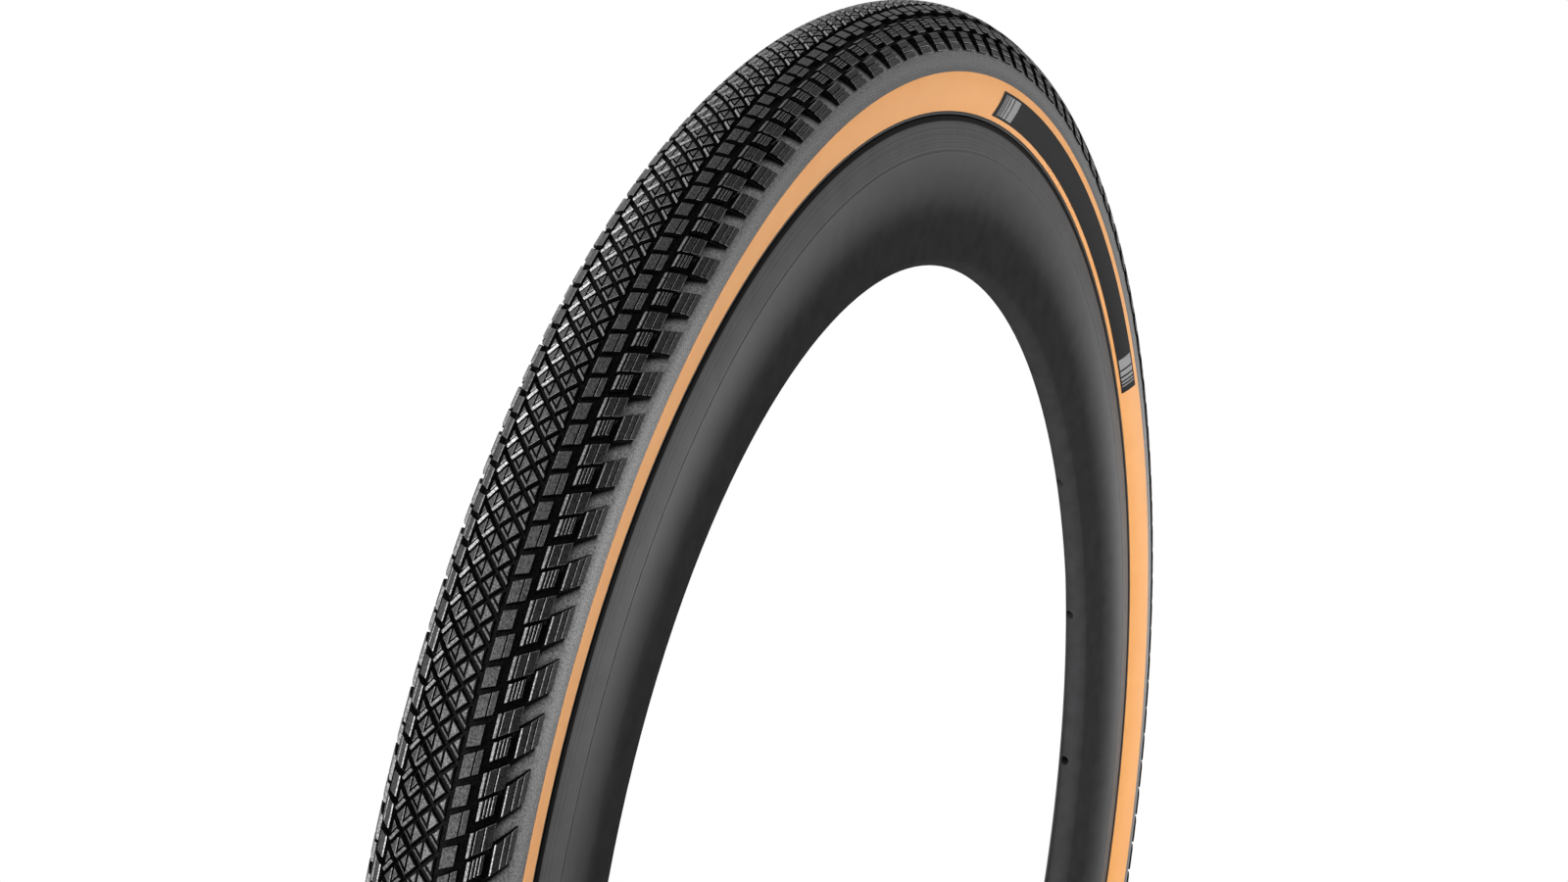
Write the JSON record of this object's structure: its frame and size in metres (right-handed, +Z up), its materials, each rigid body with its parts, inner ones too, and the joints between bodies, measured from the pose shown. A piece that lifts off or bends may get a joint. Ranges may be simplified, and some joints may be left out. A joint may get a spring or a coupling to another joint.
{
  "type": "bicycle tyre",
  "caption": "Inflated tubeless gravel tyre with knobbly black tread and tan sidewalls on a bare deep-section black rim, with its valve.",
  "frame": {"origin": "wheel centre, on the axle line midway between the two sidewalls", "axes": "+Y along the axle, +Z up, valve at the bottom on -Z pointing at the centre, the pictured side faces -Y"},
  "size_m": [0.717, 0.0414, 0.717],
  "materials": {
    "tread_rubber": "moulded black tread rubber, satin",
    "tan_sidewall": "smooth tan sidewall skin",
    "chafer_rubber": "matt black rubber strip",
    "belt_nylon": "woven nylon, rubbered",
    "casing_cord": "corded carcass, rubbered",
    "aramid": "twisted aramid hoop",
    "carbon": "satin black carbon laminate with finely turned brake tracks",
    "sealing_tape": "thin plastic tape",
    "black_alloy": "black anodised",
    "valve_brass": "turned brass",
    "seal_rubber": "black rubber",
    "cap_plastic": "moulded black plastic"
  },
  "bodies": {
    "wheel": {"tread": "tread_rubber", "breaker_belt": "belt_nylon", "casing": "casing_cord", "sidewall_left": "tan_sidewall", "sidewall_right": "tan_sidewall", "chafer_left": "chafer_rubber", "chafer_right": "chafer_rubber", "bead_core_left": "aramid", "bead_core_right": "aramid", "rim": "carbon", "rim_tape": "sealing_tape", "valve_stem": "black_alloy", "valve_grommet": "seal_rubber", "valve_core": "valve_brass"},
    "o_ring": {"valve_o_ring": "seal_rubber"},
    "lock_nut": {"valve_lock_nut": "black_alloy"},
    "core_nut": {"valve_core_nut": "valve_brass"},
    "pin": {"valve_pin": "valve_brass", "valve_pin_seal": "seal_rubber"},
    "cap": {"valve_cap": "cap_plastic"}
  },
  "joints": [
    {"name": "o_ring_slide", "type": "slide", "parent": "wheel", "child": "o_ring", "axis": [0, 0, 1], "range_m": [0, 0.008]},
    {"name": "lock_nut_turn", "type": "hinge", "parent": "o_ring", "child": "lock_nut", "pos_m": [0, 0, -0.2506], "axis": [0, 0, 1], "range_deg": [0, 3600]},
    {"name": "core_nut_turn", "type": "hinge", "parent": "wheel", "child": "core_nut", "pos_m": [0, 0, -0.22365], "axis": [0, 0, 1], "range_deg": [0, 1800]},
    {"name": "pin_slide", "type": "slide", "parent": "wheel", "child": "pin", "axis": [0, 0, -1], "range_m": [0, 0.00225]},
    {"name": "cap_slide", "type": "slide", "parent": "wheel", "child": "cap", "axis": [0, 0, 1], "range_m": [0, 0.03]}
  ],
  "couplings": [
    {"joint": "lock_nut_turn", "follows": "o_ring_slide", "rad_per_m": 7853.9},
    {"joint": "core_nut_turn", "follows": "pin_slide", "rad_per_m": 13962}
  ]
}
